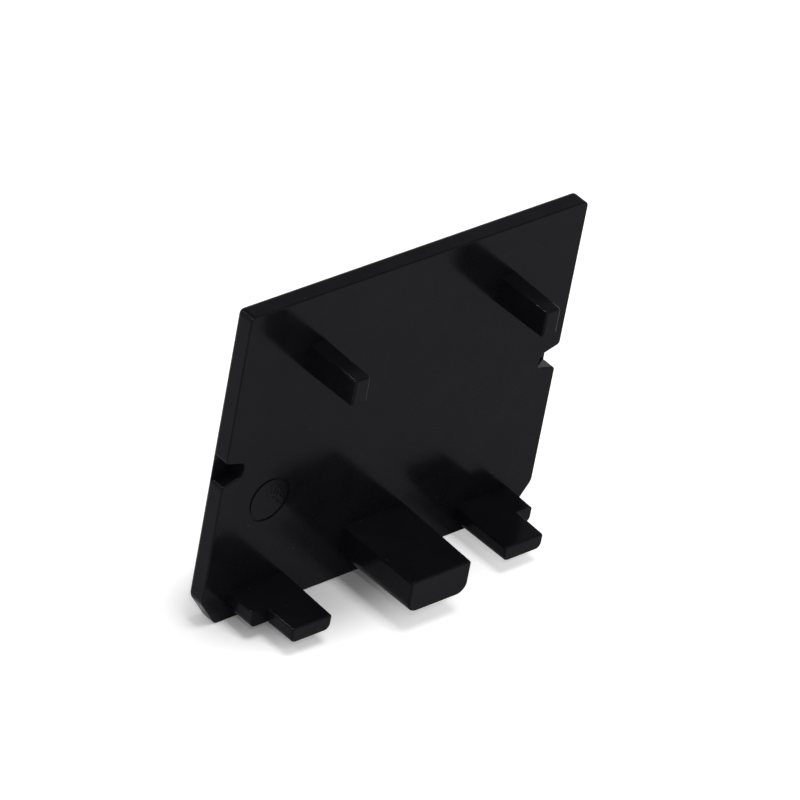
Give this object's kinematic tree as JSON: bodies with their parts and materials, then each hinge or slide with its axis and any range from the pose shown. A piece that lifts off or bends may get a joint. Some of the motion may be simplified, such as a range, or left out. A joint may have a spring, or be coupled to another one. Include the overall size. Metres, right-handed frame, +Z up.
{
  "type": "profile end cap",
  "caption": "Flat rectangular end cap with a tongue, stepped lugs and pegs on its inner side, pushed into the cut end of an extruded light profile.",
  "frame": {"origin": "centre of the seat face, the inner side of the plate that meets the profile's cut end", "axes": "+X along the plate's width, +Z up toward the edge with the pegs, -Y out of the seat face into the profile; the plate lies on the +Y side"},
  "size_m": [0.03, 0.0088, 0.026],
  "materials": {
    "black_plastic": "satin"
  },
  "bodies": {
    "root": {"end_cap": "black_plastic"}
  },
  "joints": []
}
